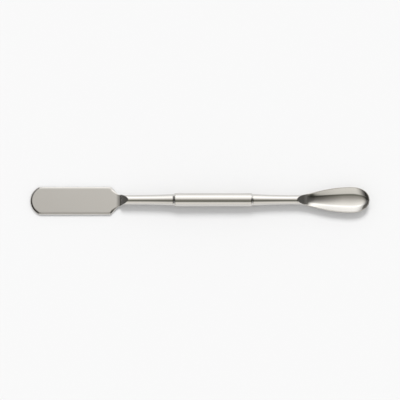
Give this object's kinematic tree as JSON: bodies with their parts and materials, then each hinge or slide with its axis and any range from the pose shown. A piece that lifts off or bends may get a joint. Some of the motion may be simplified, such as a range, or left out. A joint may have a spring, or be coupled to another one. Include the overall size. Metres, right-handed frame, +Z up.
{
  "type": "lab spatula",
  "caption": "Double-ended steel spatula: a flat round-ended blade, a slim turned shaft with a thicker grip, and a teardrop scoop.",
  "frame": {"origin": "on the bench, under the middle of the spatula's box", "axes": "+X along the shaft from the blade to the scoop, +Y across the blade, +Z up out of the bench and out of the scoop's hollow"},
  "size_m": [0.18, 0.015, 0.0073],
  "materials": {
    "steel": "polished stainless steel: mirror-bright turned shaft and scoop, satin blade with a fine lengthwise grain"
  },
  "bodies": {
    "root": {"spatula": "steel"}
  },
  "joints": []
}
